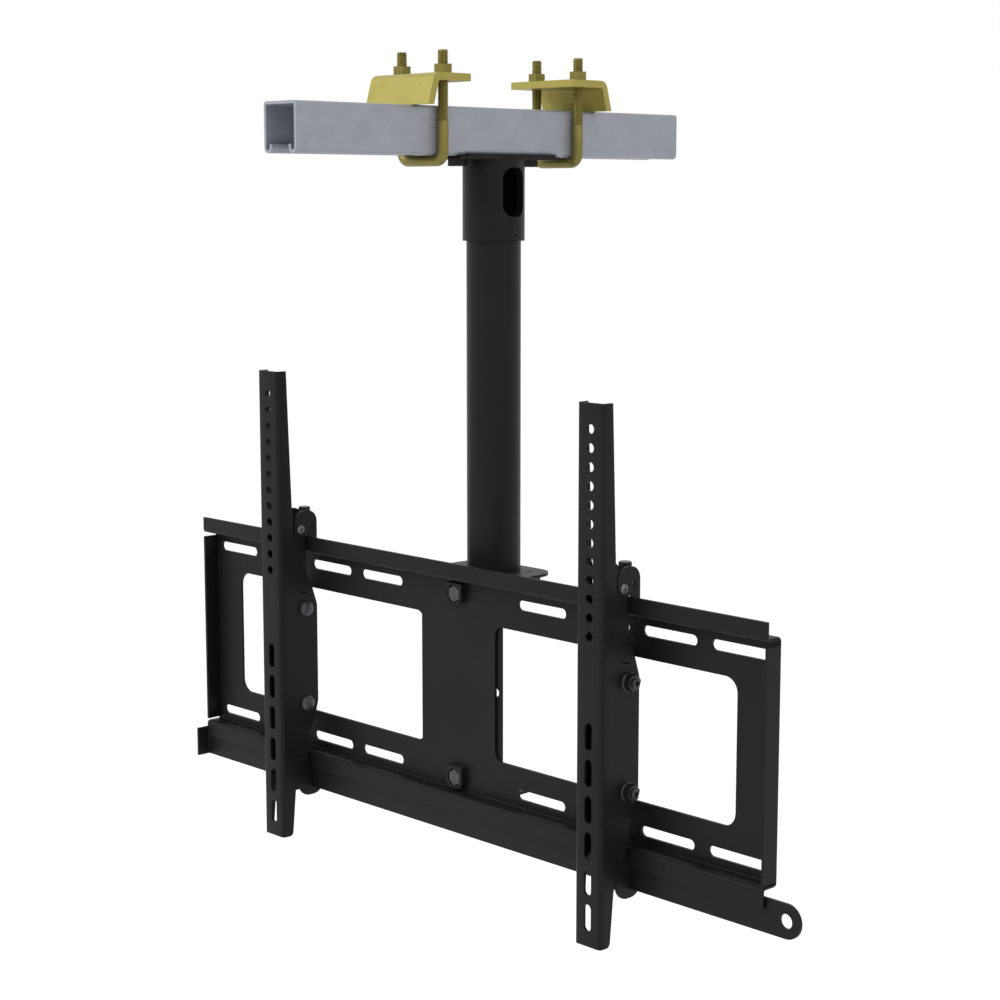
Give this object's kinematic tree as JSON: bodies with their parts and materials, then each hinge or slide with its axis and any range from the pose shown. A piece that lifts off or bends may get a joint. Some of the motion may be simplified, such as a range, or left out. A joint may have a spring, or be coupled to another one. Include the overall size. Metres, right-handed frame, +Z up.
{
  "type": "television ceiling mount",
  "caption": "Ceiling mount for a television: strut with beam clamps, pole socket and pole, slotted wall plate, and tilting rails hooked on it and kept by a sliding lock bar.",
  "frame": {"origin": "top face of the strut, on the axis of the pole", "axes": "+Z up along the pole, X along the wall plate's width, -Y towards the television"},
  "size_m": [0.7657, 0.4543, 0.7308],
  "materials": {
    "zinc_strut": "satin zinc",
    "zinc_fastener": "dull zinc",
    "yellow_zinc": "yellow passivated zinc",
    "black_coat": "satin black powder coat",
    "black_fastener": "black oxide",
    "black_plastic": "matt black"
  },
  "bodies": {
    "frame": {"strut_channel": "zinc_strut", "ubolt_front": "yellow_zinc", "ubolt_rear": "yellow_zinc", "clamp_plate_front": "yellow_zinc", "clamp_plate_rear": "yellow_zinc", "clamp_nuts_front": "yellow_zinc", "clamp_nuts_rear": "yellow_zinc", "pole_socket": "black_coat", "socket_bolts": "black_fastener", "channel_nuts": "zinc_fastener", "socket_set_screw": "black_fastener", "extension_pole": "black_coat", "pole_collar": "black_coat", "collar_screws": "black_fastener", "pole_bracket": "black_coat", "wall_plate": "black_coat", "plate_spacer_upper": "black_plastic", "plate_spacer_lower": "black_plastic", "bracket_bolts": "zinc_fastener", "bracket_nuts": "zinc_fastener", "hook_bracket_left": "black_coat", "cross_bar_left": "black_fastener", "cross_screws_left": "zinc_fastener", "bridge_plate_left": "black_fastener", "hook_bracket_right": "black_coat", "cross_bar_right": "black_fastener", "cross_screws_right": "zinc_fastener", "bridge_plate_right": "black_fastener"},
    "lock_bar": {"lock_bar": "black_coat"},
    "rail_left": {"tv_rail_left": "black_coat", "tilt_bolts_left": "zinc_fastener", "tilt_nuts_left": "zinc_fastener", "tilt_sleeves_left": "black_fastener"},
    "height_screw_left": {"height_screw_left": "zinc_fastener"},
    "rail_right": {"tv_rail_right": "black_coat", "tilt_bolts_right": "zinc_fastener", "tilt_nuts_right": "zinc_fastener", "tilt_sleeves_right": "black_fastener"},
    "height_screw_right": {"height_screw_right": "zinc_fastener"}
  },
  "joints": [
    {"name": "lock_bar_slide", "type": "slide", "parent": "frame", "child": "lock_bar", "axis": [1, 0, 0], "range_m": [-0.6, 0]},
    {"name": "tilt_left", "type": "hinge", "parent": "frame", "child": "rail_left", "pos_m": [-0.2087, -0.137, -0.511], "axis": [1, 0, 0], "range_deg": [-3, 8.5]},
    {"name": "height_screw_left", "type": "slide", "parent": "frame", "child": "height_screw_left", "axis": [0, 0, 1], "range_m": [0, 0.008]},
    {"name": "tilt_right", "type": "hinge", "parent": "frame", "child": "rail_right", "pos_m": [0.2087, -0.137, -0.511], "axis": [1, 0, 0], "range_deg": [-3, 8.5]},
    {"name": "height_screw_right", "type": "slide", "parent": "frame", "child": "height_screw_right", "axis": [0, 0, 1], "range_m": [0, 0.008]}
  ]
}
